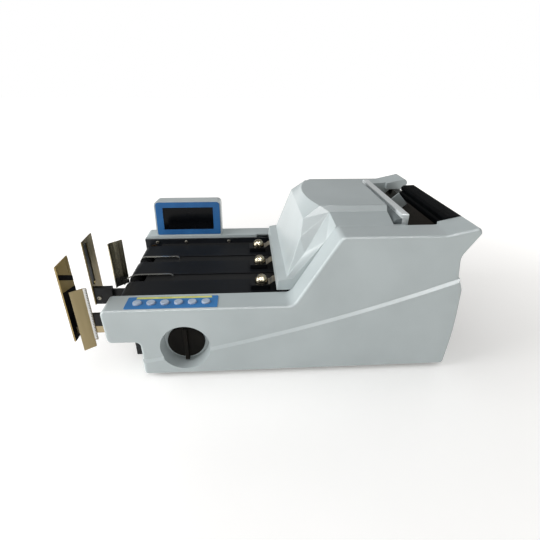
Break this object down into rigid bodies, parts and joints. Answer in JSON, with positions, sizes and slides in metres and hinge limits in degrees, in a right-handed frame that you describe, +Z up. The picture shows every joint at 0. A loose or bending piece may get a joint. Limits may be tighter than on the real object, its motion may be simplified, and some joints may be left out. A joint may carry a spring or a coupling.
{
  "type": "sheet counting machine",
  "caption": "Desktop machine that draws sheets from a sloping hopper and counts them out along belts under rolling balls against adjustable end stops.",
  "frame": {"origin": "on the surface it stands on, under the middle of the box round the machine with its stops at rest", "axes": "+X from the end stops towards the hopper, +Y from the keypad side towards the display side, +Z up"},
  "size_m": [0.557, 0.31, 0.236],
  "materials": {
    "housing": "satin pale grey moulding",
    "black_sheet": "satin black paint",
    "bush": "plain bearing bronze",
    "roller": "turned",
    "motor_case": "plain",
    "timing_rubber": "matte",
    "cage": "matte black",
    "leaf": "bright spring steel",
    "polished_steel": "mirror polished stainless",
    "clamp": "satin black",
    "screw": "zinc plated",
    "guide_block": "plain",
    "shaft": "ground",
    "dial": "satin black",
    "gate": "satin",
    "chute": "polished stainless",
    "rest_grip": "ribbed black",
    "side_plate": "satin",
    "tyre": "matte",
    "board": "solder mask",
    "inlet": "matte black",
    "rocker": "gloss black",
    "keypad": "blue film",
    "label": "yellow-green film",
    "display_frame": "blue film",
    "display_glass": "dark smoked window",
    "foot": "matte",
    "belt": "matte black",
    "ball": "polished steel",
    "key": "pale lavender rubber"
  },
  "bodies": {
    "chassis": {"housing_near": "housing", "housing_far": "housing", "display_case": "housing", "chassis_plate_near": "black_sheet", "chassis_plate_far": "black_sheet", "base_plate": "black_sheet", "deck": "black_sheet", "end_panel": "black_sheet", "roller_bushes": "bush", "motor": "motor_case", "power_supply": "motor_case", "timing_belts": "timing_rubber", "ball_cages": "cage", "cage_leaves": "leaf", "far_finger": "polished_steel", "plate_screws": "screw", "arm_guides": "guide_block", "hinge_pins": "shaft", "gate_bar": "gate", "hopper_chute": "chute", "rest_bar": "rest_grip", "retard_roller": "tyre", "circuit_boards": "board", "power_inlet": "inlet", "keypad_panel": "keypad", "label_strip": "label", "display_overlay": "display_frame", "display_window": "display_glass", "rubber_feet": "foot", "belt_near": "belt", "belt_mid": "belt", "belt_far": "belt"},
    "cover": {"top_cover": "housing"},
    "near_stop": {"near_arm": "polished_steel", "near_blade": "polished_steel", "near_post": "polished_steel", "near_screws": "screw"},
    "mid_stop": {"mid_arm": "polished_steel", "mid_blade": "polished_steel", "mid_clamp": "clamp", "mid_screws": "screw"},
    "centre_stop": {"centre_stop": "polished_steel"},
    "dial": {"dial_knob": "dial", "dial_shaft": "shaft"},
    "drive_roller": {"drive_roller": "roller"},
    "nose_roller": {"nose_roller": "roller"},
    "feed_roller": {"feed_shaft": "shaft", "feed_tyres": "tyre"},
    "motor_rotor": {"motor_pulley": "roller"},
    "rocker": {"power_rocker": "rocker"},
    "side_guide": {"side_guide": "side_plate"},
    "ball_near": {"ball_near": "ball"},
    "ball_mid": {"ball_mid": "ball"},
    "ball_far": {"ball_far": "ball"},
    "key_1": {"key_1": "key"},
    "key_2": {"key_2": "key"},
    "key_3": {"key_3": "key"},
    "key_4": {"key_4": "key"},
    "key_5": {"key_5": "key"},
    "key_6": {"key_6": "key"}
  },
  "joints": [
    {"name": "cover_hinge", "type": "hinge", "parent": "chassis", "child": "cover", "pos_m": [0.18646, 0, 0.2145], "axis": [0, 1, 0], "range_deg": [0, 50]},
    {"name": "near_stop_slide", "type": "slide", "parent": "chassis", "child": "near_stop", "axis": [1, 0, 0], "range_m": [-0.035, 0.012]},
    {"name": "mid_stop_slide", "type": "slide", "parent": "chassis", "child": "mid_stop", "axis": [1, 0, 0], "range_m": [-0.035, 0.012]},
    {"name": "dial_turn", "type": "hinge", "parent": "chassis", "child": "dial", "pos_m": [-0.11954, 0, 0.0525], "axis": [0, 1, 0], "range_deg": [-134.5, 46.5]},
    {"name": "centre_stop_slide", "type": "slide", "parent": "chassis", "child": "centre_stop", "axis": [1, 0, 0], "range_m": [-0.02, 0.005]},
    {"name": "drive_spin", "type": "hinge", "parent": "chassis", "child": "drive_roller", "pos_m": [0.07747, 0, 0.091], "axis": [0, 1, 0], "continuous": true},
    {"name": "nose_spin", "type": "hinge", "parent": "chassis", "child": "nose_roller", "pos_m": [-0.21254, 0, 0.091], "axis": [0, 1, 0], "continuous": true},
    {"name": "feed_spin", "type": "hinge", "parent": "chassis", "child": "feed_roller", "pos_m": [0.16947, 0, 0.14], "axis": [0, 1, 0], "continuous": true},
    {"name": "motor_spin", "type": "hinge", "parent": "chassis", "child": "motor_rotor", "pos_m": [0.01546, 0, 0.048], "axis": [0, 1, 0], "continuous": true},
    {"name": "ball_spin_near", "type": "hinge", "parent": "chassis", "child": "ball_near", "pos_m": [-0.00654, -0.07, 0.1143], "axis": [0, 1, 0], "continuous": true},
    {"name": "ball_spin_mid", "type": "hinge", "parent": "chassis", "child": "ball_mid", "pos_m": [-0.00654, 0, 0.1143], "axis": [0, 1, 0], "continuous": true},
    {"name": "ball_spin_far", "type": "hinge", "parent": "chassis", "child": "ball_far", "pos_m": [-0.00654, 0.07, 0.1143], "axis": [0, 1, 0], "continuous": true},
    {"name": "key_press_1", "type": "slide", "parent": "chassis", "child": "key_1", "axis": [0, 0, -1], "range_m": [0, 0.001], "stiffness_N_per_m": 400, "springref_m": -0.001},
    {"name": "key_press_2", "type": "slide", "parent": "chassis", "child": "key_2", "axis": [0, 0, -1], "range_m": [0, 0.001], "stiffness_N_per_m": 400, "springref_m": -0.001},
    {"name": "key_press_3", "type": "slide", "parent": "chassis", "child": "key_3", "axis": [0, 0, -1], "range_m": [0, 0.001], "stiffness_N_per_m": 400, "springref_m": -0.001},
    {"name": "key_press_4", "type": "slide", "parent": "chassis", "child": "key_4", "axis": [0, 0, -1], "range_m": [0, 0.001], "stiffness_N_per_m": 400, "springref_m": -0.001},
    {"name": "key_press_5", "type": "slide", "parent": "chassis", "child": "key_5", "axis": [0, 0, -1], "range_m": [0, 0.001], "stiffness_N_per_m": 400, "springref_m": -0.001},
    {"name": "key_press_6", "type": "slide", "parent": "chassis", "child": "key_6", "axis": [0, 0, -1], "range_m": [0, 0.001], "stiffness_N_per_m": 400, "springref_m": -0.001},
    {"name": "rocker_tilt", "type": "hinge", "parent": "chassis", "child": "rocker", "pos_m": [0.25496, -0.059, 0.062], "axis": [0, 1, 0], "range_deg": [-6, 6]},
    {"name": "side_guide_slide", "type": "slide", "parent": "chassis", "child": "side_guide", "axis": [0, 1, 0], "range_m": [-0.055, 0.075]}
  ],
  "couplings": [
    {"joint": "mid_stop_slide", "follows": "near_stop_slide", "ratio": 1},
    {"joint": "dial_turn", "follows": "near_stop_slide", "rad_per_m": 66.667},
    {"joint": "nose_spin", "follows": "drive_spin", "ratio": 1},
    {"joint": "feed_spin", "follows": "drive_spin", "ratio": 1},
    {"joint": "motor_spin", "follows": "drive_spin", "ratio": 1.4},
    {"joint": "ball_spin_near", "follows": "drive_spin", "ratio": -1.3},
    {"joint": "ball_spin_mid", "follows": "drive_spin", "ratio": -1.3},
    {"joint": "ball_spin_far", "follows": "drive_spin", "ratio": -1.3}
  ]
}
